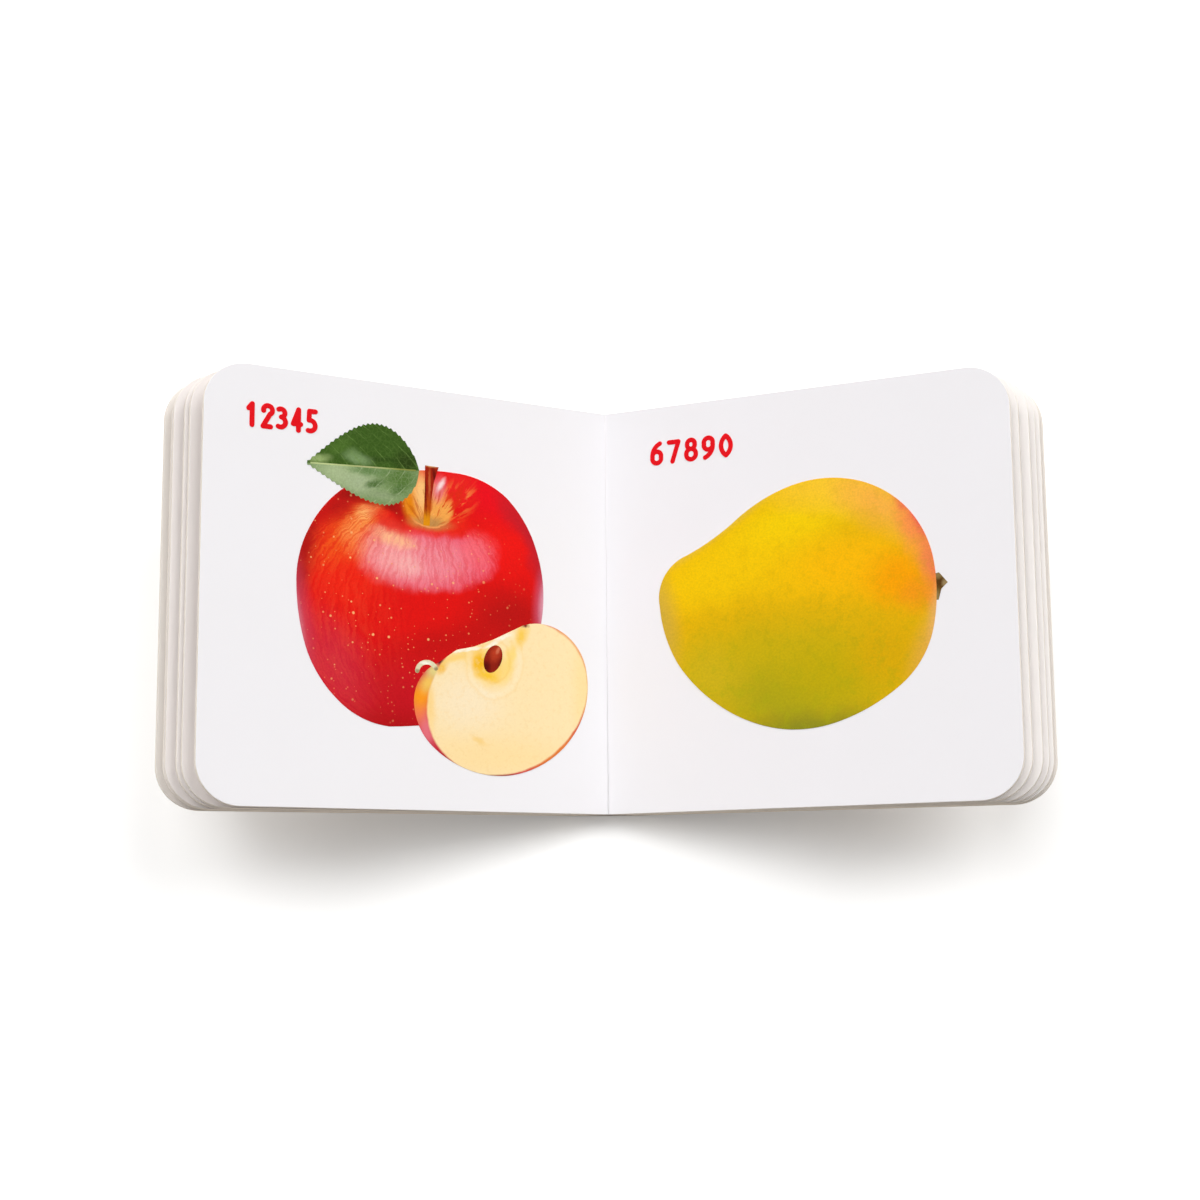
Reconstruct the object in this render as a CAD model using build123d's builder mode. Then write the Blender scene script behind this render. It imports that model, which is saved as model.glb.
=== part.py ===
from build123d import *
from math import cos, pi, radians, sin, tan
import os

# A small square board book of twelve thick card leaves, lying open at its middle spread.
# It rests on its spine strip. X runs across the spread, Y up the page and Z away from the table.
# The origin is the centre of the spine strip's underside.

# Page block
page_width = 100.0  # from the middle fold to the fore edge
page_height = 100.0
leaf_thickness = 1.4  # a leaf is two printed sheets glued back to back
corner_radius = 10.0  # die-cut outer corners
fold_depth = 1.5  # how far the folds of neighbouring leaves stay pressed together
fold_recess = 0.2  # dip between two folds where a leaf's two sheets meet

# Rise of each leaf above the table in degrees, from the open page down to the last page
left_rises = (25.2, 22.6, 22.2, 20.7, 20.4)
right_rises = (25.2, 23.6, 21.8, 20.4, 19.8)

# How far each leaf has slipped outwards in the fan, from the open page down
left_slips = (0.3, 0.7, 0.2, 0.7, -0.5)
right_slips = (0.2, 0.2, 0.7, 0.5, 0.1)

# Cover: front board, spine strip and back board, one sheet creased along the strip's two edges
cover_width = 99.5  # from the crease to the fore edge
cover_thickness = 1.4  # the cover sheet with the end sheet glued to it
cover_rise = 19.0
spine_width = 17.6  # twelve leaves and the slack of the two creases
spine_thickness = 0.7  # the cover sheet alone
crease_inset = 0.34  # from the crease to the last fold of the pages
crease_gap = 0.05  # between the last fold and the cover board's root

# Print: a film of ink and gloss on the two open pages
ink_thickness = 0.1

# The drawings from here to the last outline are in hundredths of the page's shorter side, to the
# right and up from the middle of the page, so they grow and shrink with the page

# Leaf printed above the red fruit
print_leaf_base = (0.7, 29.8)
print_leaf_length = 27.2
print_leaf_turn = 182.5  # direction from base to tip
print_leaf_lower_half = (8.5, 0.62)  # greatest width from the rib, and fullness
print_leaf_upper_half = (10.2, 0.72)  # a fullness below 1 puts the greatest width near the base
print_leaf_teeth = 24  # along each side
print_leaf_tooth = 0.45
print_rib_width = 0.35

# Seed in the slice
seed_centre = (19.6, -13.8)
seed_length = 7.0
seed_breadth = 4.4
seed_turn = 68.0

# Curl of dry sepals on the slice
curl_points = ((5.1, -16.9), (2.7, -15.6), (0.5, -17.7))
curl_width = 1.1

# Numerals, drawn as strokes with round ends
numeral_height = 6.0
numeral_stroke = 1.15
numeral_baseline = 35.3
left_numeral_width = 2.9
left_numeral_pitch = 3.5
left_numerals_start = -40.9
right_numeral_width = 3.6
right_numeral_pitch = 4.5
right_numerals_start = -38.0

# Strokes of each numeral, in shares of its width and height: two points are a line, three an arc
numeral_strokes = {
    "1": (((0.1, 0.78), (0.55, 1.0)), ((0.55, 1.0), (0.55, 0.0))),
    "2": (((0.05, 0.75), (0.55, 1.0), (0.9, 0.6)), ((0.9, 0.6), (0.0, 0.0)), ((0.0, 0.0), (1.0, 0.0))),
    "3": (((0.05, 0.9), (0.85, 0.78), (0.4, 0.54)), ((0.4, 0.54), (0.95, 0.25), (0.0, 0.08))),
    "4": (((0.7, 1.0), (0.0, 0.3)), ((0.0, 0.3), (1.0, 0.3)), ((0.7, 1.0), (0.7, 0.0))),
    "5": (((0.95, 1.0), (0.15, 1.0)), ((0.15, 1.0), (0.1, 0.56)), ((0.1, 0.56), (0.95, 0.3), (0.0, 0.06))),
    "6": (((0.85, 1.0), (0.2, 0.7), (0.05, 0.3)), ((0.05, 0.3), (0.5, 0.0), (0.95, 0.3)),
          ((0.95, 0.3), (0.5, 0.6), (0.05, 0.3))),
    "7": (((0.0, 1.0), (1.0, 1.0)), ((1.0, 1.0), (0.35, 0.0))),
    "8": (((0.1, 0.77), (0.5, 1.0), (0.9, 0.77)), ((0.9, 0.77), (0.5, 0.54), (0.1, 0.77)),
          ((0.0, 0.27), (0.5, 0.54), (1.0, 0.27)), ((1.0, 0.27), (0.5, 0.0), (0.0, 0.27))),
    "9": (((0.15, 0.0), (0.8, 0.3), (0.95, 0.7)), ((0.95, 0.7), (0.5, 1.0), (0.05, 0.7)),
          ((0.05, 0.7), (0.5, 0.4), (0.95, 0.7))),
    "0": (((0.5, 1.0), (0.0, 0.5), (0.5, 0.0)), ((0.5, 0.0), (1.0, 0.5), (0.5, 1.0))),
}

# Outlines on the left page
red_fruit_outline = (
    (-28.5, 0.0), (-25.5, 14.0), (-15.0, 25.5), (-2.0, 29.5), (9.5, 30.3), (20.5, 27.5),
    (30.0, 16.0), (32.8, 1.5), (28.0, -15.5), (15.0, -27.5), (2.0, -30.3), (-8.0, -30.8),
    (-20.0, -24.0), (-27.0, -11.0),
)
hollow_outline = ((-4.5, 25.5), (-1.5, 19.0), (3.5, 16.2), (8.5, 19.0), (10.2, 24.0), (6.0, 33.0))
shine_outline = (
    (-10.5, 13.0), (-9.5, 5.5), (-1.0, 1.5), (10.0, 2.2), (19.0, 8.0), (16.0, 14.5),
    (4.0, 12.5),
)
stem_outline = (
    (2.2, 31.3), (5.6, 31.2), (4.4, 27.5), (3.7, 22.0), (3.4, 16.8), (1.8, 16.8),
    (2.1, 24.0),
)
slice_cut = ((27.4, -5.2), (19.5, -9.2), (14.8, -11.1), (10.3, -12.2), (5.6, -15.6))
slice_rim = (
    (-0.2, -24.0), (1.4, -31.2), (10.0, -38.9), (21.5, -41.5), (33.5, -37.8), (42.0, -29.0),
    (44.6, -18.0), (41.4, -9.0), (33.5, -4.6),
)
flesh_rim = (
    (2.9, -24.0), (4.8, -31.2), (12.4, -38.3), (21.9, -40.8), (33.2, -37.2), (41.4, -28.6),
    (44.0, -18.0), (40.9, -9.5), (33.4, -5.2),
)

# Outlines on the right page
yellow_fruit_outline = (
    (-35.9, 0.0), (-33.5, 8.8), (-23.5, 14.6), (-12.0, 22.3), (4.0, 27.5), (19.0, 24.0), (29.0, 13.5),
    (32.0, -2.0), (28.5, -16.5), (16.0, -27.3), (-2.0, -31.8), (-18.0, -27.0), (-31.0, -15.0),
)
blush_outline = (
    (16.0, 27.0), (23.5, 16.0), (22.0, 4.0), (26.0, -8.0), (34.0, -12.0), (38.0, 6.0), (30.0, 24.0),
)
green_outline = (
    (-26.0, -15.0), (-14.0, -8.0), (4.0, -11.0), (18.0, -14.0), (20.0, -28.0), (-4.0, -38.0),
    (-24.0, -30.0),
)
stub_outline = ((30.5, 2.2), (32.7, 2.5), (34.6, 0.1), (33.1, -1.3), (32.4, -3.8), (30.5, -3.8))

left_side = -1
right_side = 1
sheet_thickness = leaf_thickness / 2
crease_x = spine_width / 2
leaf_count = len(left_rises)


def along(side, rise, distance):
    """Step along a leaf that rises away from the middle fold."""
    return Vector(side * distance * cos(radians(rise)), distance * sin(radians(rise)))


def under(side, rise, distance):
    """Step through a leaf, from its upper face to its lower one."""
    return Vector(side * distance * sin(radians(rise)), -distance * cos(radians(rise)))


# The pages' last folds lie on the covers' inner faces, just inside the creases
cover_root_height = cover_thickness / cos(radians(cover_rise))
last_fold_x = crease_x - crease_inset
last_fold_z = cover_root_height - crease_inset * tan(radians(cover_rise))

# The middle fold stands as high as the pressed leaves between it and the last folds allow
mean_rise = radians((sum(left_rises) + sum(right_rises)) / (2 * leaf_count))
block_thickness = leaf_count * leaf_thickness
middle_fold_z = last_fold_z + (block_thickness - last_fold_x * sin(mean_rise)) / cos(mean_rise)
middle_fold = Vector(0, middle_fold_z)


def fold_points(side):
    """Folds from the middle one down to the last one, evenly spaced on a straight line."""
    last_fold = Vector(side * last_fold_x, last_fold_z)
    return [middle_fold + (last_fold - middle_fold) * (i / leaf_count) for i in range(leaf_count + 1)]


def leaf_corners(side, rises, slips):
    """Upper and lower fore-edge corners of each leaf and the notch below it, as one open path."""
    folds = fold_points(side)
    corners = []
    for i in range(leaf_count):
        upper = folds[i] + along(side, rises[i], page_width + slips[i])
        corners += [upper, upper + under(side, rises[i], leaf_thickness)]
        if i + 1 < leaf_count:
            corners.append(folds[i + 1] + along(side, rises[i + 1], fold_depth))
    return corners


def foot_corner(side, lowest_corner):
    """Point where the last page's lower face ends, beside the cover board's root."""
    last_fold = fold_points(side)[-1]
    root_x = side * (crease_x - crease_gap)
    slope = (lowest_corner.Y - last_fold.Y) / (lowest_corner.X - last_fold.X)
    return Vector(root_x, last_fold.Y + slope * (root_x - last_fold.X))


def inward(side, distance):
    """Step square to the line of folds, into the hollow under the middle fold."""
    fold_line = (fold_points(side)[-1] - middle_fold).normalized()
    return Vector(-side * fold_line.Y, side * fold_line.X) * distance


def sheet_joints(side):
    """Points between two folds, where the two sheets of a leaf meet."""
    folds = fold_points(side)
    return [(folds[i] + folds[i + 1]) / 2 - inward(side, fold_recess) for i in range(leaf_count)]


def draw_half_block(side, rises, slips):
    """Outline of the leaves on one side, from the middle fold round to its underside."""
    corners = leaf_corners(side, rises, slips)
    foot = foot_corner(side, corners[-1])
    landing = Vector(side * last_fold_x, spine_thickness)
    folds = fold_points(side)
    joints = sheet_joints(side)
    Polyline(middle_fold, *corners, foot, Vector(foot.X, spine_thickness), landing)
    TangentArc(landing, joints[-1], tangent=Vector(-side, 0))
    for i in range(leaf_count - 1, 0, -1):
        ThreePointArc(joints[i], folds[i] + inward(side, sheet_thickness), joints[i - 1])
    Line(joints[0], middle_fold - Vector(0, sheet_thickness / cos(radians(rises[0]))))


def to_page(drawing):
    """Turn a drawing in hundredths of the page into millimetres."""
    return drawing.sketch.scale(min(page_width, page_height) / 100)


def draw_arcs(curve, arcs):
    """Row of circular arcs along a smooth curve."""
    stops = [curve @ (i / (2 * arcs)) for i in range(2 * arcs + 1)]
    for i in range(0, 2 * arcs, 2):
        ThreePointArc(stops[i], stops[i + 1], stops[i + 2])


def smooth_face(points):
    """Closed smooth field through a few points."""
    with BuildSketch() as field:
        with BuildLine():
            draw_arcs(Spline(*points, periodic=True, mode=Mode.PRIVATE), len(points))
        make_face()
    return to_page(field)


def slice_face(rim):
    """Round slice with a straight-sided cut across its top."""
    with BuildSketch() as field:
        with BuildLine():
            draw_arcs(Spline(slice_cut[-1], *rim, slice_cut[0], mode=Mode.PRIVATE), len(rim))
            Polyline(*slice_cut)
        make_face()
    return to_page(field)


def print_leaf_point(share, outwards):
    """Point at a share of the printed leaf's length from its base, and a distance from its rib."""
    turn = radians(print_leaf_turn)
    x = share * print_leaf_length
    y = outwards
    return (
        print_leaf_base[0] + x * cos(turn) - y * sin(turn),
        print_leaf_base[1] + x * sin(turn) + y * cos(turn),
    )


def toothed_edge(side, half):
    """Saw teeth from the printed leaf's base to its tip, each leaning towards the tip."""
    half_width, fullness = half
    points = []
    for i in range(print_leaf_teeth):
        for step, tooth in ((0.3, 0), (0.9, print_leaf_tooth)):
            share = (i + step) / print_leaf_teeth
            reach = half_width * sin(pi * share**fullness) + tooth
            points.append(print_leaf_point(share, side * reach))
    return points


def numerals_face(digits, start, width, pitch):
    """Row of numerals on the baseline, each stroke with round ends."""
    half_stroke = numeral_stroke / 2
    path_width = width - numeral_stroke
    path_height = numeral_height - numeral_stroke
    with BuildSketch() as field:
        for i, digit in enumerate(digits):
            with Locations((start + i * pitch + half_stroke, numeral_baseline + half_stroke)):
                for stroke in numeral_strokes[digit]:
                    points = [(x * path_width, y * path_height) for x, y in stroke]
                    make_path = Edge.make_line if len(points) == 2 else Edge.make_three_point_arc
                    SlotArc(make_path(*points), numeral_stroke)
    return to_page(field)


def page_plane(side, rise):
    """Upper face of an open page, from its middle, with X to the right and Y up the page."""
    middle = middle_fold + along(side, rise, page_width / 2)
    x_dir = Vector(cos(radians(rise)), 0, side * sin(radians(rise)))
    normal = Vector(-side * sin(radians(rise)), 0, cos(radians(rise)))
    return Plane(origin=(middle.X, 0, middle.Y), x_dir=x_dir, z_dir=normal)


def save(piece, name):
    piece.part.label = name
    export_step(piece.part, f"parts/{name}.step")
    print(f"{name}: {len(piece.part.solids())} solid, {piece.part.volume:.1f} mm3")


os.makedirs("parts", exist_ok=True)
section = Plane.XZ

# Pages: ten leaves hanging together at their folds
with BuildPart() as pages:
    with BuildSketch(section):
        with BuildLine():
            draw_half_block(left_side, left_rises, left_slips)
            draw_half_block(right_side, right_rises, right_slips)
        make_face()
    extrude(amount=page_height / 2, both=True)
    outer_corners = pages.edges().filter_by(
        lambda edge: abs(edge.length - leaf_thickness) < 0.001 and abs(edge.center().X) > page_width / 2
    )
    fillet(outer_corners, corner_radius)
save(pages, "pages")

# Spine strip: the flat panel between the two creases, on which the book lies
with BuildPart() as spine_strip:
    Box(spine_width, page_height, spine_thickness, align=(Align.CENTER, Align.CENTER, Align.MIN))
save(spine_strip, "spine_strip")


def cover_board(side):
    """Cover board that rises from its crease, its root cut upright where it meets the spine strip."""
    crease = Vector(side * crease_x, 0)
    outer_corner = crease + along(side, cover_rise, cover_width)
    inner_corner = outer_corner - under(side, cover_rise, cover_thickness)
    with BuildPart() as board:
        with BuildSketch(section):
            with BuildLine():
                root_top = crease + Vector(0, cover_root_height)
                Polyline(crease, outer_corner, inner_corner, root_top, close=True)
            make_face()
        extrude(amount=page_height / 2, both=True)
        outer_corners = board.edges().filter_by(
            lambda edge: abs(edge.length - cover_thickness) < 0.001 and abs(edge.center().X) > page_width / 2
        )
        fillet(outer_corners, corner_radius)
    return board


save(cover_board(left_side), "front_cover")
save(cover_board(right_side), "back_cover")

# Fields of colour on the left page
left_page = page_plane(left_side, left_rises[0])
red_fruit_field = smooth_face(red_fruit_outline)
hollow_field = smooth_face(hollow_outline)
shine_field = smooth_face(shine_outline)
slice_field = slice_face(slice_rim)
flesh_field = slice_face(flesh_rim)

with BuildSketch() as stem_drawing:
    with BuildLine():
        Polyline(*stem_outline, close=True)
    make_face()
stem_field = to_page(stem_drawing)

with BuildSketch() as blade_drawing:
    with BuildLine():
        lower_edge = toothed_edge(1, print_leaf_lower_half)
        upper_edge = toothed_edge(-1, print_leaf_upper_half)
        Polyline(print_leaf_base, *lower_edge, print_leaf_point(1, 0), *reversed(upper_edge), close=True)
    make_face()
blade_field = to_page(blade_drawing)

with BuildSketch() as rib_drawing:
    with Locations(print_leaf_point(0.5, 0)):
        Rectangle(print_leaf_length * 0.94, print_rib_width, rotation=print_leaf_turn)
rib_field = to_page(rib_drawing)

with BuildSketch() as curl_drawing:
    SlotArc(Edge.make_three_point_arc(*curl_points), curl_width)
curl_field = to_page(curl_drawing)

with BuildSketch() as seed_drawing:
    with Locations(seed_centre):
        Ellipse(seed_length / 2, seed_breadth / 2, rotation=seed_turn)
seed_field = to_page(seed_drawing)

with BuildPart() as red_fruit_print:
    with BuildSketch(left_page):
        add(red_fruit_field)
        for field in (hollow_field, shine_field, stem_field, blade_field, slice_field, curl_field):
            add(field, mode=Mode.SUBTRACT)
    extrude(amount=ink_thickness)
save(red_fruit_print, "red_fruit_print")

with BuildPart() as fruit_hollow_print:
    with BuildSketch(left_page):
        add(hollow_field)
        add(red_fruit_field, mode=Mode.INTERSECT)
        add(stem_field, mode=Mode.SUBTRACT)
        add(blade_field, mode=Mode.SUBTRACT)
    extrude(amount=ink_thickness)
save(fruit_hollow_print, "fruit_hollow_print")

with BuildPart() as fruit_shine_print:
    with BuildSketch(left_page):
        add(shine_field)
    extrude(amount=ink_thickness)
save(fruit_shine_print, "fruit_shine_print")

with BuildPart() as fruit_stem_print:
    with BuildSketch(left_page):
        add(stem_field)
        add(blade_field, mode=Mode.SUBTRACT)
    extrude(amount=ink_thickness)
save(fruit_stem_print, "fruit_stem_print")

with BuildPart() as leaf_blade_print:
    with BuildSketch(left_page):
        add(blade_field)
        add(rib_field, mode=Mode.SUBTRACT)
    extrude(amount=ink_thickness)
save(leaf_blade_print, "leaf_blade_print")

with BuildPart() as leaf_rib_print:
    with BuildSketch(left_page):
        add(rib_field)
    extrude(amount=ink_thickness)
save(leaf_rib_print, "leaf_rib_print")

with BuildPart() as slice_skin_print:
    with BuildSketch(left_page):
        add(slice_field)
        add(flesh_field, mode=Mode.SUBTRACT)
        add(curl_field, mode=Mode.SUBTRACT)
    extrude(amount=ink_thickness)
save(slice_skin_print, "slice_skin_print")

with BuildPart() as slice_flesh_print:
    with BuildSketch(left_page):
        add(flesh_field)
        add(seed_field, mode=Mode.SUBTRACT)
        add(curl_field, mode=Mode.SUBTRACT)
    extrude(amount=ink_thickness)
save(slice_flesh_print, "slice_flesh_print")

with BuildPart() as slice_seed_print:
    with BuildSketch(left_page):
        add(seed_field)
    extrude(amount=ink_thickness)
save(slice_seed_print, "slice_seed_print")

with BuildPart() as slice_curl_print:
    with BuildSketch(left_page):
        add(curl_field)
    extrude(amount=ink_thickness)
save(slice_curl_print, "slice_curl_print")

with BuildPart() as left_numerals_print:
    with BuildSketch(left_page):
        add(numerals_face("12345", left_numerals_start, left_numeral_width, left_numeral_pitch))
    extrude(amount=ink_thickness)
save(left_numerals_print, "left_numerals_print")

# Fields of colour on the right page
right_page = page_plane(right_side, right_rises[0])
yellow_fruit_field = smooth_face(yellow_fruit_outline)
blush_field = smooth_face(blush_outline)
green_field = smooth_face(green_outline)

with BuildSketch() as stub_drawing:
    with BuildLine():
        Polyline(*stub_outline, close=True)
    make_face()
stub_field = to_page(stub_drawing)

with BuildPart() as yellow_fruit_print:
    with BuildSketch(right_page):
        add(yellow_fruit_field)
        add(blush_field, mode=Mode.SUBTRACT)
        add(green_field, mode=Mode.SUBTRACT)
    extrude(amount=ink_thickness)
save(yellow_fruit_print, "yellow_fruit_print")

with BuildPart() as fruit_blush_print:
    with BuildSketch(right_page):
        add(blush_field)
        add(yellow_fruit_field, mode=Mode.INTERSECT)
    extrude(amount=ink_thickness)
save(fruit_blush_print, "fruit_blush_print")

with BuildPart() as fruit_green_print:
    with BuildSketch(right_page):
        add(green_field)
        add(yellow_fruit_field, mode=Mode.INTERSECT)
    extrude(amount=ink_thickness)
save(fruit_green_print, "fruit_green_print")

with BuildPart() as fruit_stub_print:
    with BuildSketch(right_page):
        add(stub_field)
        add(yellow_fruit_field, mode=Mode.SUBTRACT)
    extrude(amount=ink_thickness)
save(fruit_stub_print, "fruit_stub_print")

with BuildPart() as right_numerals_print:
    with BuildSketch(right_page):
        add(numerals_face("67890", right_numerals_start, right_numeral_width, right_numeral_pitch))
    extrude(amount=ink_thickness)
save(right_numerals_print, "right_numerals_print")
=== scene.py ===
from math import cos, pi, radians, sin, tan

import bpy
from mathutils import Matrix, Vector


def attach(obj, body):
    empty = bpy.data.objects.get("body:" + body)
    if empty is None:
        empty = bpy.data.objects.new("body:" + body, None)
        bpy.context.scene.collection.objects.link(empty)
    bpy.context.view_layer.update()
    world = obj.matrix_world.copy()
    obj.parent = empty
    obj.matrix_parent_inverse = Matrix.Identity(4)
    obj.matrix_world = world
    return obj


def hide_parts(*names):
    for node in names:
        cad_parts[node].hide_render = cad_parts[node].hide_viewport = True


# A small board book lying open at its middle spread. X runs across the spread, Y up the page
# and Z away from the table. Lengths in the settings are in millimetres.

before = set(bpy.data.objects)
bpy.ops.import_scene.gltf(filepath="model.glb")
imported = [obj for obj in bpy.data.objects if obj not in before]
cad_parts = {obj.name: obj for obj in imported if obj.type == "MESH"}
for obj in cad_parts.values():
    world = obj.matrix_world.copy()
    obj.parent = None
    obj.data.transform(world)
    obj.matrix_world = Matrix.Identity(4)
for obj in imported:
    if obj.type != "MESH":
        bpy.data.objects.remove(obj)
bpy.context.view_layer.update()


print("frame loaded:", len(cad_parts), "nodes")

millimetre = 0.001

spread = dict(
    width=100.0, height=100.0, sheet=0.7, cornerRadius=10.0,
    middleFold=5.473, foldStep=(1.692, -0.8218),  # from each fold to the next, out and up
    leftRises=(25.2, 22.6, 22.2, 20.7, 20.4), rightRises=(25.2, 23.6, 21.8, 20.4, 19.8),
    leftSlips=(0.3, 0.7, 0.2, 0.7, -0.5), rightSlips=(0.2, 0.2, 0.7, 0.5, 0.1),
)


# Small tools

def linearColour(hexText):
    parts = [int(hexText[i:i + 2], 16) / 255 for i in (1, 3, 5)]
    linear = [c / 12.92 if c <= 0.04045 else ((c + 0.055) / 1.055) ** 2.4 for c in parts]
    return (*linear, 1.0)


def addNode(tree, kind, inputs=None, **settings):
    node = tree.nodes.new("ShaderNode" + kind)
    for name, value in settings.items():
        setattr(node, name, value)
    for name, value in (inputs or {}).items():
        if isinstance(value, bpy.types.NodeSocket):
            tree.links.new(value, node.inputs[name])
        else:
            node.inputs[name].default_value = value
    return node


def newMaterial(name, **shader):
    material = bpy.data.materials.new(name)
    material.use_nodes = True
    tree = material.node_tree
    tree.nodes.clear()
    surface = addNode(tree, "BsdfPrincipled", shader)
    addNode(tree, "OutputMaterial", {"Surface": surface.outputs["BSDF"]})
    return material, tree, surface


def deselectAll():
    if bpy.context.object and bpy.context.object.mode != "OBJECT":
        bpy.ops.object.mode_set(mode="OBJECT")
    bpy.ops.object.select_all(action="DESELECT")


def makeActive(piece):
    deselectAll()
    piece.select_set(True)
    bpy.context.view_layer.objects.active = piece


def editEdges(piece, wanted):
    # Goes into edit mode with only the edges selected for which wanted(end, end) is true
    makeActive(piece)
    bpy.ops.object.mode_set(mode="EDIT")
    bpy.ops.mesh.select_mode(type="EDGE")
    bpy.ops.mesh.select_all(action="DESELECT")
    bpy.ops.object.mode_set(mode="OBJECT")
    mesh = piece.data
    for edge in mesh.edges:
        a, b = (mesh.vertices[i].co / millimetre for i in edge.vertices)
        edge.select = bool(wanted(a, b))
    bpy.ops.object.mode_set(mode="EDIT")


def editVertices(piece, wanted):
    makeActive(piece)
    bpy.ops.object.mode_set(mode="EDIT")
    bpy.ops.mesh.select_mode(type="VERT")
    bpy.ops.mesh.select_all(action="DESELECT")
    bpy.ops.object.mode_set(mode="OBJECT")
    for vertex in piece.data.vertices:
        vertex.select = bool(wanted(vertex.co / millimetre))
    bpy.ops.object.mode_set(mode="EDIT")


def endEdit():
    bpy.ops.object.mode_set(mode="OBJECT")


def near(value, target, reach=0.02):
    return abs(value - target) < reach


def addBlock(name, low, high):
    # A cuboid between two corners, with its place in its mesh
    deselectAll()
    low, high = Vector(low) * millimetre, Vector(high) * millimetre
    bpy.ops.mesh.primitive_cube_add(size=1, location=(low + high) / 2, scale=high - low)
    bpy.ops.object.transform_apply(location=True, rotation=True, scale=True)
    piece = bpy.context.object
    piece.name = name
    piece.data.name = name
    return piece


def copyPiece(piece, name):
    twin = piece.copy()
    twin.data = piece.data.copy()
    twin.name = name
    bpy.context.scene.collection.objects.link(twin)
    return twin


def placeMesh(piece, matrix):
    piece.matrix_world = matrix
    makeActive(piece)
    bpy.ops.object.transform_apply(location=True, rotation=True, scale=True)


def joinPieces(pieces, name):
    deselectAll()
    for piece in pieces:
        piece.select_set(True)
    bpy.context.view_layer.objects.active = pieces[0]
    bpy.ops.object.join()
    whole = bpy.context.object
    whole.name = name
    whole.data.name = name
    return whole


# Finishes of the board

boardFinish = dict(
    # The inner leaves are one board, tinted per side as painted light: darker and warmer on the
    # left as painted shade, lighter on the right as painted light
    openPage=("#F2F0F3", "#F0EEF0"), leftLeavesPaintedShade=("#F0EAE7", "#ECE5E1"),
    rightLeavesPaintedLight=("#F8F4F1", "#F4EFEC"), cover=("#EEE8E1", "#EAE3DC"),
    faceRoughness=0.55, faceSpecular=0.16, faceIor=1.5,
    cloudSize=22.0, filmGrain=0.9, filmDepth=0.05, filmStrength=0.06,
    coreGrey="#EEE3D6", core="#FAF2E8", coreLight="#FFFBF4", coreLevels=(0.3, 0.5, 0.7),
    coreRoughness=0.85, coreSpecular=0.2, coreIor=1.45,
    fibreLength=2.2, fibreDepth=0.08, fibreStrength=0.35, plies=9.0,
    glue="#BDA892", glueAmount=0.3, glueSpread=(0.02, 0.08),  # spread in shares of the board
    filmedAbove=0.7,  # how upright a face's normal is where the film goes on
    flatAbove=30.0, smoothAngle=28.0,  # in square millimetres and in degrees
)


def coatedFace(name, tones):
    # Clay-coated board under a matt film: white, faintly cool, with a soft wide sheen
    finish = boardFinish
    material, tree, surface = newMaterial(
        name, Roughness=finish["faceRoughness"], IOR=finish["faceIor"])
    surface.inputs["Specular IOR Level"].default_value = finish["faceSpecular"]
    place = addNode(tree, "TexCoord").outputs["Object"]
    cloud = addNode(tree, "TexNoise", {
        "Vector": place, "Scale": 1 / (finish["cloudSize"] * millimetre), "Detail": 2.0})
    tint = addNode(tree, "Mix", {
        0: cloud.outputs["Fac"], 6: linearColour(tones[0]), 7: linearColour(tones[1])},
        data_type="RGBA")
    tree.links.new(tint.outputs[2], surface.inputs["Base Color"])
    film = addNode(tree, "TexNoise", {
        "Vector": place, "Scale": 1 / (finish["filmGrain"] * millimetre), "Detail": 3.0})
    bump = addNode(tree, "Bump", {
        "Height": film.outputs["Fac"], "Strength": finish["filmStrength"],
        "Distance": finish["filmDepth"] * millimetre})
    tree.links.new(bump.outputs["Normal"], surface.inputs["Normal"])
    return material


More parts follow.
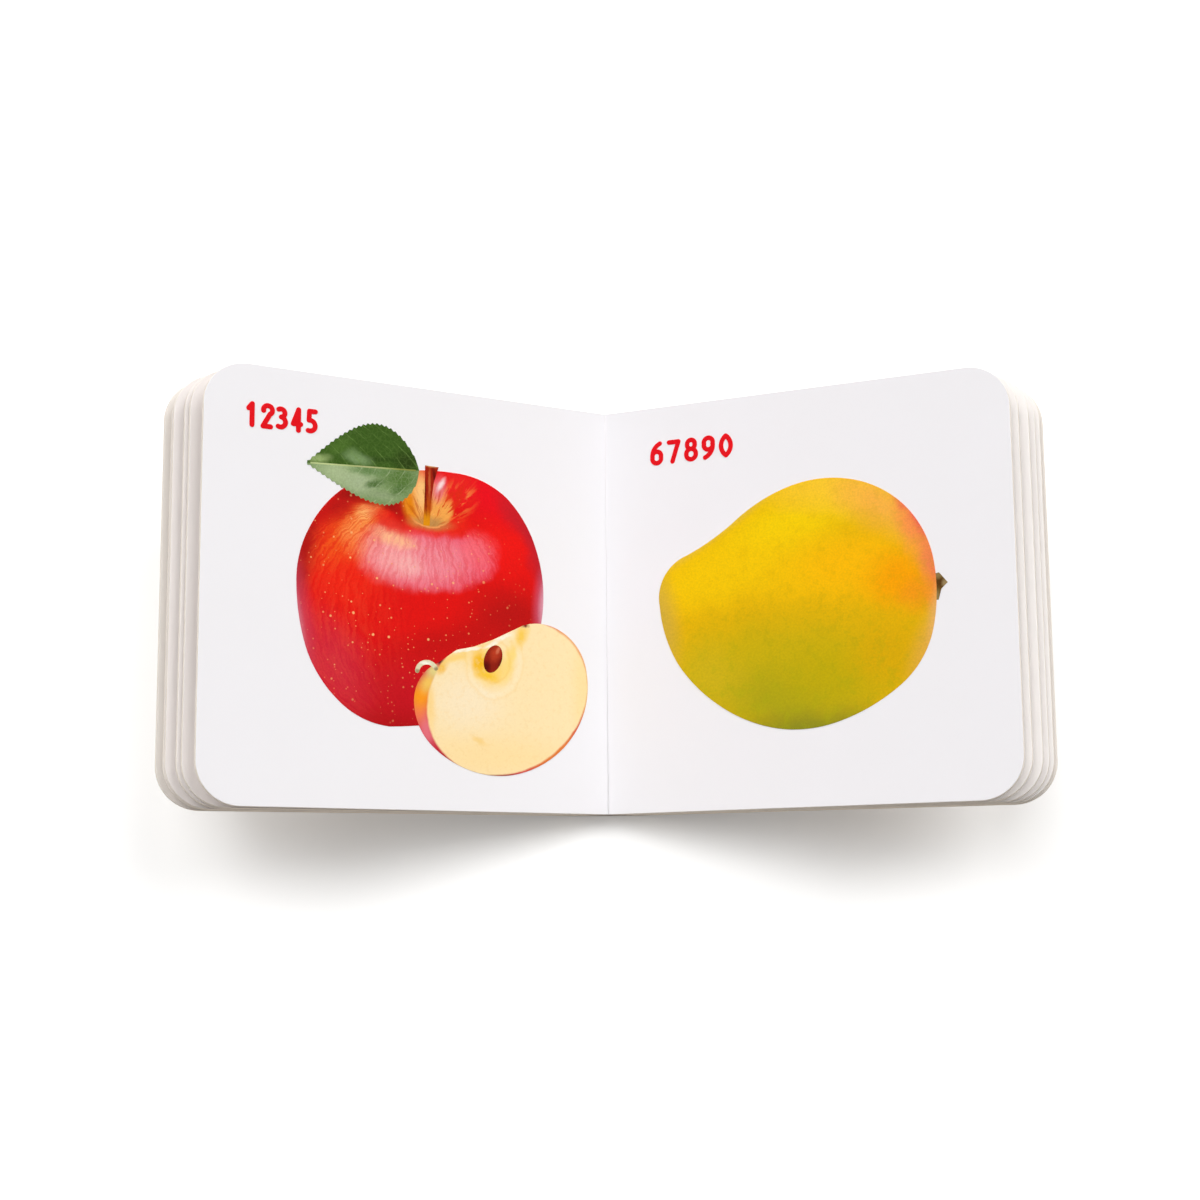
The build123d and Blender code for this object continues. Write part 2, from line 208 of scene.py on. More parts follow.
def cutEdge(name):
    # Die-cut grey-white board: cream, dry and fibrous, in plies that run round the edge
    finish = boardFinish
    material, tree, surface = newMaterial(
        name, Roughness=finish["coreRoughness"], IOR=finish["coreIor"])
    surface.inputs["Specular IOR Level"].default_value = finish["coreSpecular"]
    place = addNode(tree, "TexCoord").outputs["Object"]
    ply = addNode(tree, "Attribute", attribute_name="ply").outputs["Fac"]
    layer = addNode(tree, "Math", {0: ply, 1: finish["plies"]}, operation="MULTIPLY")
    stretch = addNode(tree, "Mapping", {
        "Vector": place, "Scale": (1 / (finish["fibreLength"] * millimetre),) * 3})
    apart = addNode(tree, "SeparateXYZ", {0: stretch.outputs[0]})
    along = addNode(tree, "Math", {0: apart.outputs[0], 1: apart.outputs[2]}, operation="ADD")
    fibreAt = addNode(tree, "CombineXYZ", {
        0: along.outputs[0], 1: apart.outputs[1], 2: layer.outputs[0]})
    fibre = addNode(tree, "TexNoise", {"Vector": fibreAt.outputs[0], "Scale": 1.0, "Detail": 4.0})
    shade = addNode(tree, "ValToRGB", {"Fac": fibre.outputs["Fac"]})
    ramp = shade.color_ramp
    grey, middle, light = finish["coreLevels"]
    ramp.elements[0].position, ramp.elements[0].color = grey, linearColour(finish["coreGrey"])
    ramp.elements[1].position, ramp.elements[1].color = light, linearColour(finish["coreLight"])
    ramp.elements.new(middle).color = linearColour(finish["core"])
    fromGlue = addNode(tree, "Math", {0: ply, 1: 0.5}, operation="SUBTRACT")
    glueGap = addNode(tree, "Math", {0: fromGlue.outputs[0]}, operation="ABSOLUTE")
    glue = addNode(tree, "MapRange", {
        0: glueGap.outputs[0], 1: finish["glueSpread"][0], 2: finish["glueSpread"][1],
        3: finish["glueAmount"], 4: 0.0}, interpolation_type="SMOOTHSTEP")
    body = addNode(tree, "Mix", {
        0: glue.outputs[0], 6: shade.outputs["Color"], 7: linearColour(finish["glue"])},
        data_type="RGBA")
    tree.links.new(body.outputs[2], surface.inputs["Base Color"])
    bump = addNode(tree, "Bump", {
        "Height": fibre.outputs["Fac"], "Strength": finish["fibreStrength"],
        "Distance": finish["fibreDepth"] * millimetre})
    tree.links.new(bump.outputs["Normal"], surface.inputs["Normal"])
    return material


openFace = coatedFace("mattFilmedOpenPage", boardFinish["openPage"])
# The same board on each side, with painted shade on the left leaves and painted light on the right
# ones
litAndShadedLeafFaces = {-1: coatedFace("mattFilmedLeftLeavesPaintedShade", boardFinish["leftLeavesPaintedShade"]),
             1: coatedFace("mattFilmedRightLeavesPaintedLight", boardFinish["rightLeavesPaintedLight"])}
coverFace = coatedFace("mattFilmedCoverBoard", boardFinish["cover"])
boardEdge = cutEdge("dieCutBoardEdge")


# Board sheets. A sheet lies flat with its fold along Y at X = 0, its printed face at Z = 0 and its
# glued face below, and it is placed in the book afterwards.

sheetShape = dict(
    cornerSegments=14, printedRim=0.14, gluedRim=0.07, rimSegments=2,
    noseRadius=0.679, noseSegments=5,  # the rounded outside of a fold
    creaseRadius=0.32, creaseSegments=3,  # the inside of the open fold
)


def roundCorners(piece, farEdge):
    editEdges(piece, lambda a, b: near(a.x, farEdge) and near(b.x, farEdge) and near(a.y, b.y))
    bpy.ops.mesh.bevel(offset=spread["cornerRadius"] * millimetre, offset_type="OFFSET",
                       segments=sheetShape["cornerSegments"], affect="EDGES", clamp_overlap=False)
    endEdit()


def softenRim(piece, level, rootEdge, width, segments):
    # The die-cut rim round one face, from the root along one end, round the fore-edge and back
    def onRim(a, b):
        atRoot = near(a.x, rootEdge) and near(b.x, rootEdge)
        return near(a.z, level) and near(b.z, level) and not atRoot
    editEdges(piece, onRim)
    bpy.ops.mesh.bevel(offset=width * millimetre, segments=segments, affect="EDGES",
                       clamp_overlap=False)
    endEdit()


def markPly(piece, low, high):
    # Share of the way through the board, from its lower face to its upper one
    ply = piece.data.attributes.new("ply", "FLOAT", "POINT")
    for i, vertex in enumerate(piece.data.vertices):
        ply.data[i].value = (vertex.co.z / millimetre - low) / (high - low)


def dressBoard(piece, faceMaterial):
    # Done while the board lies flat: the broad faces are filmed, and the cut ones show its core
    piece.data.materials.clear()
    piece.data.materials.append(faceMaterial)
    piece.data.materials.append(boardEdge)
    for face in piece.data.polygons:
        face.material_index = 0 if abs(face.normal.z) > boardFinish["filmedAbove"] else 1
    makeActive(piece)
    bpy.ops.object.shade_smooth_by_angle(angle=radians(boardFinish["smoothAngle"]))
    broad = boardFinish["flatAbove"] * millimetre ** 2
    for face in piece.data.polygons:
        face.use_smooth = face.area < broad  # the broad faces stay flat


def foldedSheet():
    # Half of a sheet of a closed spread, its outer face rounded over the fold
    thickness = spread["sheet"]
    piece = addBlock("foldedSheet", (-thickness, -spread["height"] / 2, -thickness),
                     (spread["width"], spread["height"] / 2, 0))
    roundCorners(piece, spread["width"])
    softenRim(piece, 0, -thickness, sheetShape["printedRim"], sheetShape["rimSegments"])
    softenRim(piece, -thickness, -thickness, sheetShape["gluedRim"], 1)
    editEdges(piece, lambda a, b: near(a.x, -thickness) and near(b.x, -thickness)
              and near(a.z, -thickness) and near(b.z, -thickness))
    bpy.ops.mesh.bevel(offset=sheetShape["noseRadius"] * millimetre,
                       segments=sheetShape["noseSegments"], affect="EDGES", clamp_overlap=False)
    endEdit()
    return piece


def openSheet():
    # Half of the middle sheet, which lies open: mitred at the fold, with a tight crease on top
    thickness = spread["sheet"]
    mitre = thickness * tan(radians(spread["leftRises"][0]))
    piece = addBlock("openSheet", (0, -spread["height"] / 2, -thickness),
                     (spread["width"], spread["height"] / 2, 0))
    roundCorners(piece, spread["width"])
    softenRim(piece, 0, 0, sheetShape["printedRim"], sheetShape["rimSegments"])
    softenRim(piece, -thickness, 0, sheetShape["gluedRim"], 1)
    editVertices(piece, lambda p: near(p.x, 0, 0.5) and near(p.z, -thickness, 0.1))
    bpy.ops.transform.translate(value=(-mitre * millimetre, 0, 0))
    endEdit()
    editEdges(piece, lambda a, b: near(a.x, 0) and near(b.x, 0) and near(a.z, 0) and near(b.z, 0))
    bpy.ops.mesh.bevel(offset=sheetShape["creaseRadius"] * millimetre,
                       segments=sheetShape["creaseSegments"], affect="EDGES", clamp_overlap=False)
    endEdit()
    return piece


def sheetPlace(side, foldNumber, rise, drop=0.0, shift=0.0, turned=False):
    # Where a sheet goes. Side is -1 on the left, and drop and shift follow its leaf's own axes.
    matrix = Matrix.Translation((shift * millimetre, 0, -drop * millimetre))
    if turned:
        matrix = matrix @ Matrix.Rotation(pi, 4, "X")
    matrix = Matrix.Rotation(-radians(rise), 4, "Y") @ matrix
    if side < 0:
        matrix = Matrix.Rotation(pi, 4, "Z") @ matrix
    out, up = spread["foldStep"]
    fold = Vector((side * out * foldNumber, 0, spread["middleFold"] + up * foldNumber))
    return Matrix.Translation(fold * millimetre) @ matrix


def buildPages():
    closed, opened = foldedSheet(), openSheet()
    leafThickness = 2 * spread["sheet"]
    out, up = spread["foldStep"]
    sheets = []
    for side, rises, slips in ((-1, spread["leftRises"], spread["leftSlips"]),
                               (1, spread["rightRises"], spread["rightSlips"])):
        for i, (rise, slip) in enumerate(zip(rises, slips)):
            upper = copyPiece(opened if i == 0 else closed, "upperSheet")
            lower = copyPiece(closed, "lowerSheet")
            # The next fold starts further out, so the lower sheet is that much shorter
            setBack = out * cos(radians(rise)) + up * sin(radians(rise))
            for sheet, growth in ((upper, slip), (lower, slip - setBack)):
                editVertices(sheet, lambda p: p.x > spread["width"] / 2)
                bpy.ops.transform.translate(value=(growth * millimetre, 0, 0))
                endEdit()
            for sheet, low, high in ((upper, -leafThickness, 0), (lower, 0, -leafThickness)):
                markPly(sheet, low, high)
            dressBoard(upper, openFace if i == 0 else litAndShadedLeafFaces[side])
            dressBoard(lower, litAndShadedLeafFaces[side])
            placeMesh(upper, sheetPlace(side, i, rise))
            placeMesh(lower, sheetPlace(side, i, rise, drop=leafThickness, shift=setBack,
                                        turned=True))
            sheets += [upper, lower]
    for pattern in (closed, opened):
        bpy.data.objects.remove(pattern)
    return joinPieces(sheets, "pageBlock")


coverShape = dict(width=99.5, thickness=1.4, rise=19.0, creaseAt=8.8, rim=0.2, rimSegments=3)


def buildCover(side, name):
    shape = coverShape
    top, height = shape["thickness"], spread["height"] / 2
    board = addBlock(name, (0, -height, 0), (shape["width"], height, top))
    roundCorners(board, shape["width"])
    softenRim(board, top, 0, shape["rim"], shape["rimSegments"])
    softenRim(board, 0, 0, shape["rim"], shape["rimSegments"])
    upright = top * tan(radians(shape["rise"]))  # the root stands upright at the crease
    editVertices(board, lambda p: near(p.x, 0, 0.5) and near(p.z, top, 0.5))
    bpy.ops.transform.translate(value=(upright * millimetre, 0, 0))
    endEdit()
    markPly(board, 0, top)
    dressBoard(board, coverFace)
    turn = Matrix.Rotation(-radians(shape["rise"]), 4, "Y")
    if side < 0:
        turn = Matrix.Rotation(pi, 4, "Z") @ turn
    placeMesh(board, Matrix.Translation((side * shape["creaseAt"] * millimetre, 0, 0)) @ turn)
    return board


spineShape = dict(
    width=17.6, thickness=0.7, rim=0.1, rimSegments=2,
    scoreInset=0.55, scoreWidth=0.5, scoreDepth=0.12,  # the pressed line beside each crease
)


def buildSpine():
    shape = spineShape
    half, height, top = shape["width"] / 2, spread["height"] / 2, shape["thickness"]
    strip = addBlock("spineStrip", (-half, -height, 0), (half, height, top))
    for side in (-1, 1):
        outer = half - shape["scoreInset"]
        valley, inner = outer - shape["scoreWidth"] / 2, outer - shape["scoreWidth"]
        for line in (outer, valley, inner):
            makeActive(strip)
            bpy.ops.object.mode_set(mode="EDIT")
            bpy.ops.mesh.select_all(action="SELECT")
            bpy.ops.mesh.bisect(plane_co=(side * line * millimetre, 0, 0), plane_no=(1, 0, 0))
            endEdit()
        editVertices(strip, lambda p: near(p.x, side * valley) and p.z > top / 2)
        bpy.ops.transform.translate(value=(0, 0, -shape["scoreDepth"] * millimetre))
        endEdit()
    editEdges(strip, lambda a, b: near(abs(a.y), height) and near(a.y, b.y) and not near(a.x, b.x))
    bpy.ops.mesh.bevel(offset=shape["rim"] * millimetre, segments=shape["rimSegments"],
                       affect="EDGES", clamp_overlap=False)
    endEdit()
    markPly(strip, 0, top)
    dressBoard(strip, coverFace)
    return strip


pageBlock = buildPages()
print("page block:", len(pageBlock.data.polygons), "faces")
frontCover = buildCover(-1, "frontCover")
backCover = buildCover(1, "backCover")
spineStrip = buildSpine()
print("covers and spine strip done")


# Print. Every field is placed on the page: millimetres to the right of and above its middle.

pageSides = {
    "left": dict(side=-1, rise=spread["leftRises"][0]),
    "right": dict(side=1, rise=spread["rightRises"][0]),
}
inkFinish = dict(
    roughness=0.5, specular=0.03, ior=1.5, screenScale=2.2, screenLevels=(0.3, 0.7),
    dotEdge=(0.3, 1.1),  # a dot fades out between these shares of its reach
    usualSoftness=0.9, ovalDepth=1000.0,  # every oval goes right through the page
)


def onPage(tree, sideName):
    page = pageSides[sideName]
    rise, side = radians(page["rise"]), page["side"]
    half = spread["width"] / 2
    middle = Vector((side * half * cos(rise), 0, spread["middleFold"] + half * sin(rise)))
    place = addNode(tree, "TexCoord").outputs["Object"]
    return addNode(tree, "Mapping", {
        "Vector": place, "Location": middle * millimetre, "Rotation": (0, -side * rise, 0),
        "Scale": (millimetre,) * 3}, vector_type="TEXTURE").outputs[0]


def wander(tree, where, reach, size):
    # Shifts a place on the page a little, so that fields run into each other unevenly
    drift = addNode(tree, "TexNoise", {"Vector": where, "Scale": 1 / size, "Detail": 3.0})
    centred = addNode(tree, "VectorMath", {
        0: drift.outputs["Color"], 1: (0.5, 0.5, 0.5)}, operation="SUBTRACT")
    shift = addNode(tree, "VectorMath", {
        0: centred.outputs[0], "Scale": reach * 2}, operation="SCALE")
    return addNode(tree, "VectorMath", {
        0: where, 1: shift.outputs[0]}, operation="ADD").outputs[0]


def fieldMask(tree, where, field):
    # 1 in the middle of an oval, half at its size and 0 outside. Its softness is its edge's width.
    soft = field.get("soft", inkFinish["usualSoftness"])
    reach = [length / (1 - soft / 2) for length in field["size"]]
    oval = addNode(tree, "Mapping", {
        "Vector": where, "Location": (*field["at"], 0), "Scale": (*reach, inkFinish["ovalDepth"]),
        "Rotation": (0, 0, radians(field.get("turn", 0)))}, vector_type="TEXTURE")
    inside = addNode(tree, "TexGradient", {
        "Vector": oval.outputs[0]}, gradient_type="SPHERICAL")
    return addNode(tree, "MapRange", {
        0: inside.outputs["Fac"], 1: 0.0, 2: soft, 3: 0.0, 4: field.get("amount", 1.0)},
        interpolation_type="SMOOTHSTEP").outputs[0]


def arcMask(tree, where, arc):
    # A thin line along an oval
    oval = addNode(tree, "Mapping", {
        "Vector": where, "Location": (*arc["at"], 0),
        "Scale": (*arc["size"], inkFinish["ovalDepth"]),
        "Rotation": (0, 0, radians(arc.get("turn", 0)))}, vector_type="TEXTURE")
    reach = addNode(tree, "VectorMath", {0: oval.outputs[0]}, operation="LENGTH")
    outside = addNode(tree, "Math", {0: reach.outputs["Value"], 1: 1.0}, operation="SUBTRACT")
    gap = addNode(tree, "Math", {0: outside.outputs[0]}, operation="ABSOLUTE")
    return addNode(tree, "MapRange", {
        0: gap.outputs[0], 1: 0.0, 2: arc["width"], 3: arc["amount"], 4: 0.0},
        interpolation_type="SMOOTHSTEP").outputs[0]


def speckles(tree, where, dots):
    # Small round dots of uneven size, one to a cell, in a share of the cells
    cells = addNode(tree, "TexVoronoi", {
        "Vector": where, "Scale": 1 / dots["spacing"]}, voronoi_dimensions="2D")
    pick = addNode(tree, "SeparateColor", {0: cells.outputs["Color"]})
    chosen = addNode(tree, "Math", {
        0: pick.outputs[0], 1: 1 - dots["share"]}, operation="GREATER_THAN")
    width = dots["dot"] / dots["spacing"]
    extra = addNode(tree, "Math", {0: pick.outputs[1], 1: width}, operation="MULTIPLY")
    reach = addNode(tree, "Math", {0: extra.outputs[0], 1: width / 2}, operation="ADD")
    outward = addNode(tree, "Math", {
        0: cells.outputs["Distance"], 1: reach.outputs[0]}, operation="DIVIDE")
    full, gone = inkFinish["dotEdge"]
    disc = addNode(tree, "MapRange", {
        0: outward.outputs[0], 1: full, 2: gone, 3: 1.0, 4: 0.0}, interpolation_type="SMOOTHSTEP")
    return addNode(tree, "Math", {
        0: disc.outputs[0], 1: chosen.outputs[0]}, operation="MULTIPLY").outputs[0]


def paint(tree, under, mask, hexText, within=None):
    # Lays a colour over what is under it, as far as the mask goes and within a second one if given
    if within is not None:
        mask = addNode(tree, "Math", {0: mask, 1: within}, operation="MULTIPLY").outputs[0]
    return addNode(tree, "Mix", {
        0: mask, 6: under, 7: linearColour(hexText)}, data_type="RGBA").outputs[2]


def paintFields(tree, where, under, fields, within=None):
    for field in fields:
        under = paint(tree, under, fieldMask(tree, where, field), field["colour"], within)
    return under


def paintPattern(tree, under, pattern, look, within=None):
    # The colour comes in where the pattern goes from the first of two levels to the second
    start, full = look["levels"]
    mask = addNode(tree, "MapRange", {
        0: pattern, 1: start, 2: full, 3: 0.0, 4: look.get("amount", 1.0)},
        interpolation_type="SMOOTHSTEP").outputs[0]
    return paint(tree, under, mask, look["colour"], within)


def inkMaterial(name, sideName):
    # Offset ink under the page's film: full colour with the page's own soft sheen
    material, tree, surface = newMaterial(
        name, Roughness=inkFinish["roughness"], IOR=inkFinish["ior"])
    surface.inputs["Specular IOR Level"].default_value = inkFinish["specular"]
    return material, tree, surface, onPage(tree, sideName)


def finishInk(tree, surface, where, colour, screen=0.05):
    # Mottle of the printing screen, about three times as coarse as it is, so that it shows
    dots = addNode(tree, "TexNoise", {
        "Vector": where, "Scale": inkFinish["screenScale"], "Detail": 2.0})
    low, high = inkFinish["screenLevels"]
    level = addNode(tree, "MapRange", {
        0: dots.outputs["Fac"], 1: low, 2: high, 3: 1 - screen, 4: 1 + screen})
    toned = addNode(tree, "HueSaturation", {"Color": colour, "Value": level.outputs[0]})
    tree.links.new(toned.outputs[0], surface.inputs["Base Color"])


redFruit = dict(
    skin="#DF1411", screen=0.05,
    drift=(1.4, 4.0), streakDrift=(1.3, 2.6), bowlDrift=(0.35, 1.6),  # each one's reach and size
    equator=-5.0, poleAt=3.5, poleReach=27.0, narrowest=0.03, streakRun=0.12,
    streaks={"Scale": 1.1, "Detail": 5.0, "Roughness": 0.65},
    darkStreak=dict(colour="#A80E15", levels=(0.5, 0.36), amount=0.1),
    lightStreak=dict(colour="#F2663E", levels=(0.4, 0.62)),
    lightArea=dict(at=(-20, -8), size=(12, 20), amount=0.14),
    streakFloor=dict(glow=0.3, shine=0.52, collar=0.7),  # what the streaks leave of each group
    fields=(
        dict(colour="#C4141F", at=(-4, -25), size=(24, 10)),
        dict(colour="#B01217", at=(-4, -33), size=(26, 5.0)),
        dict(colour="#CE2A3D", at=(-20, -17), size=(6.5, 11), turn=25, amount=0.8),
        dict(colour="#B81412", at=(24, -4), size=(9, 6.5)),
        dict(colour="#BE1312", at=(11, -10), size=(14, 4.0), turn=14, amount=0.8),
        dict(colour="#ED2110", at=(-17, 4), size=(8, 8)),
        dict(colour="#F01814", at=(21, 14), size=(8, 6), amount=0.8),
        dict(colour="#E90F1D", at=(15, 27), size=(13, 5), turn=-20),
        dict(colour="#C81C26", at=(26, 21), size=(7, 2.4), turn=-50),
        dict(colour="#B21614", at=(-27.5, 7), size=(2.8, 11), turn=-10),
        dict(colour="#B8202C", at=(31.8, 12), size=(2.6, 10), turn=14, amount=0.9),
    ),
    glow=(
        dict(colour="#F2601C", at=(-16.8, 13.2), size=(8.0, 4.2), turn=45),
        dict(colour="#F99A4A", at=(-13.5, 16.6), size=(5.0, 2.2), turn=42),
        dict(colour="#FBBC70", at=(-12.0, 18.6), size=(2.6, 1.2), turn=30),
        dict(colour="#F98B4C", at=(-14, 11.5), size=(3.0, 4.0), turn=20, amount=0.7),
    ),
    shine=(
        dict(colour="#EC6478", at=(4.4, 8.6), size=(15.2, 7.0), soft=0.3, turn=3),
        dict(colour="#F1949E", at=(1.0, 8.2), size=(10.5, 5.2), soft=0.8, amount=0.9),
        dict(colour="#F8AAA6", at=(-6.5, 9.6), size=(5.2, 4.8), amount=0.9),
        dict(colour="#FCB88A", at=(-5.5, 13.2), size=(4.6, 1.7), turn=-14),
        dict(colour="#F46C76", at=(15.6, 12.0), size=(3.6, 3.4), amount=0.9),
        dict(colour="#FBC8C0", at=(-1.5, 6.4), size=(3.0, 2.2), amount=0.5),
    ),
    collar=(
        dict(colour="#E92A18", at=(4.4, 17.2), size=(8.6, 3.0), soft=0.5, turn=6, amount=0.95),
        dict(colour="#E53420", at=(-7.5, 17.2), size=(5.0, 1.5), turn=-28, amount=0.8),
        dict(colour="#B01512", at=(-17.5, 20.4), size=(7.0, 2.4), turn=32),
        dict(colour="#7A100B", at=(-10.4, 22.0), size=(8.4, 1.5), turn=-5),
        dict(colour="#B5200E", at=(-12.2, 20.9), size=(3.0, 0.9), turn=-8),
        dict(colour="#8A110D", at=(-5.4, 20.8), size=(2.4, 1.2), turn=-24),
        dict(colour="#AE1512", at=(-28.6, 8), size=(2.6, 9), turn=-12),
        dict(colour="#B3160E", at=(-3.6, 20.0), size=(2.2, 3.2), turn=25),
    ),
    hollow=(
        dict(colour="#EFA24C", at=(3.4, 21.9), size=(6.0, 5.4), soft=0.16),
        dict(colour="#E5850F", at=(-1.4, 21.4), size=(1.7, 3.6), turn=15),
        dict(colour="#F9C078", at=(1.2, 24.8), size=(1.5, 4.2)),
        dict(colour="#BE8A4C", at=(3.6, 17.4), size=(4.2, 1.3)),
        dict(colour="#E92220", at=(9.8, 27.2), size=(4.4, 4.0), soft=0.8),
        dict(colour="#E8787E", at=(5.6, 25.8), size=(1.5, 2.6), turn=-12),
        dict(colour="#FBE2E0", at=(6.2, 27.0), size=(0.5, 1.6), turn=-30, amount=0.9),
    ),
    rim=dict(colour="#F8A45C", at=(3.4, 21.9), size=(6.05, 5.45), width=0.07, amount=0.75),
    frontRim=dict(at=(3.0, 16.6), size=(5.6, 2.0), soft=0.7),
    bowl=dict(at=(3.4, 21.0), size=(5.8, 4.6), soft=0.5),
    shoulder=dict(at=(9.6, 23.2), size=(5.2, 3.0), turn=42),
    rayFoot=(2.8, 15.2), rayScale=(52.0, 0.12, 1.0),  # close together round the foot, and long
    rays={"Scale": 1.0, "Detail": 3.0, "Roughness": 0.6},
    rayDark=dict(colour="#B8480E", levels=(0.5, 0.38), amount=0.55),
    rayRed=dict(colour="#DE2A14", levels=(0.48, 0.42), amount=0.9),
    rayLight=dict(colour="#F9A84E", levels=(0.5, 0.62), amount=0.7),
    haze=(
        dict(colour="#C4485E", at=(-31.6, -8), size=(5.6, 20), soft=0.7, turn=9, amount=0.9),
        dict(colour="#E2A0AC", at=(-32.2, -9), size=(4.6, 18), soft=0.5, turn=10, amount=0.8),
        dict(colour="#C45C74", at=(34.6, 0), size=(3.6, 10), soft=0.7, turn=-4),
        dict(colour="#E0A4B4", at=(35.2, 0), size=(3.2, 8.5), soft=0.5, turn=-4, amount=0.8),
    ),
    freckleArea=dict(at=(-7, -1), size=(26, 23), soft=0.8, amount=0.85),
    freckles=(
        dict(colour="#F08A5A", spacing=1.6, dot=0.16, share=0.2),
        dict(colour="#F49A62", spacing=2.7, dot=0.22, share=0.3),
        dict(colour="#FBC07C", spacing=4.7, dot=0.3, share=0.4),
    ),
)


def meridians(tree, where, fruit):
    # Runs along the streaks of the skin, which leave the hollow and come together below
    apart = addNode(tree, "SeparateXYZ", {0: where})
    height = addNode(tree, "Math", {
        0: apart.outputs[1], 1: fruit["equator"]}, operation="SUBTRACT")
    latitude = addNode(tree, "Math", {
        0: height.outputs[0], 1: fruit["poleReach"]}, operation="DIVIDE").outputs[0]
    square = addNode(tree, "Math", {0: latitude, 1: latitude}, operation="MULTIPLY")
    rest = addNode(tree, "Math", {0: 1.0, 1: square.outputs[0]}, operation="SUBTRACT")
    safe = addNode(tree, "Math", {
        0: rest.outputs[0], 1: fruit["narrowest"]}, operation="MAXIMUM")
    width = addNode(tree, "Math", {0: safe.outputs[0]}, operation="SQRT")
    offset = addNode(tree, "Math", {
        0: apart.outputs[0], 1: fruit["poleAt"]}, operation="SUBTRACT")
    longitude = addNode(tree, "Math", {
        0: offset.outputs[0], 1: width.outputs[0]}, operation="DIVIDE")
    along = addNode(tree, "Math", {
        0: apart.outputs[1], 1: fruit["streakRun"]}, operation="MULTIPLY")
    return addNode(tree, "CombineXYZ", {
        0: longitude.outputs[0], 1: along.outputs[0]}).outputs[0]


def bowlRays(tree, where, fruit):
    # Runs along the rays on the hollow's wall, which start at the stem's foot
    fromFoot = addNode(tree, "Mapping", {
        "Vector": where, "Location": (*fruit["rayFoot"], 0)}, vector_type="TEXTURE").outputs[0]
    around = addNode(tree, "TexGradient", {"Vector": fromFoot}, gradient_type="RADIAL")
    away = addNode(tree, "VectorMath", {0: fromFoot}, operation="LENGTH")
    spokes = addNode(tree, "CombineXYZ", {
        0: around.outputs["Fac"], 1: away.outputs["Value"]})
    return addNode(tree, "Mapping", {
        "Vector": spokes.outputs[0], "Scale": fruit["rayScale"]}).outputs[0]


def redFruitInk():
    fruit = redFruit
    material, tree, surface, where = inkMaterial("redFruitInk", "left")
    loose = wander(tree, where, *fruit["drift"])
    streakAt = meridians(tree, wander(tree, where, *fruit["streakDrift"]), fruit)
    streak = addNode(tree, "TexNoise", {"Vector": streakAt, **fruit["streaks"]}).outputs["Fac"]
    colour = paintFields(tree, loose, linearColour(fruit["skin"]), fruit["fields"])
    colour = paintPattern(tree, colour, streak, fruit["darkStreak"])
    lightArea = fieldMask(tree, where, fruit["lightArea"])
    colour = paintPattern(tree, colour, streak, fruit["lightStreak"], lightArea)
    low, high = fruit["lightStreak"]["levels"]
    for group, floorLevel in fruit["streakFloor"].items():
        keep = addNode(tree, "MapRange", {
            0: streak, 1: low, 2: high, 3: floorLevel, 4: 1.0}, interpolation_type="SMOOTHSTEP")
        colour = paintFields(tree, loose, colour, fruit[group], keep.outputs[0])

    # The hollow is a bowl with a clear front rim and rays up its wall
    bowlAt = wander(tree, where, *fruit["bowlDrift"])
    colour = paintFields(tree, bowlAt, colour, fruit["hollow"])
    rays = addNode(tree, "TexNoise", {
        "Vector": bowlRays(tree, bowlAt, fruit), **fruit["rays"]}).outputs["Fac"]
    bowl, shoulder, frontRim = (fieldMask(tree, where, fruit[area])
                                for area in ("bowl", "shoulder", "frontRim"))
    colour = paintPattern(tree, colour, rays, fruit["rayDark"], bowl)
    colour = paintPattern(tree, colour, rays, fruit["rayRed"], shoulder)
    colour = paintPattern(tree, colour, rays, fruit["rayLight"], shoulder)
    rim = arcMask(tree, bowlAt, fruit["rim"])
    colour = paint(tree, colour, rim, fruit["rim"]["colour"], frontRim)

    freckleArea = fieldMask(tree, where, fruit["freckleArea"])
    for freckle in fruit["freckles"]:
        dots = speckles(tree, where, freckle)
        colour = paint(tree, colour, dots, freckle["colour"], freckleArea)
    colour = paintFields(tree, where, colour, fruit["haze"])
    finishInk(tree, surface, where, colour, fruit["screen"])
    return material


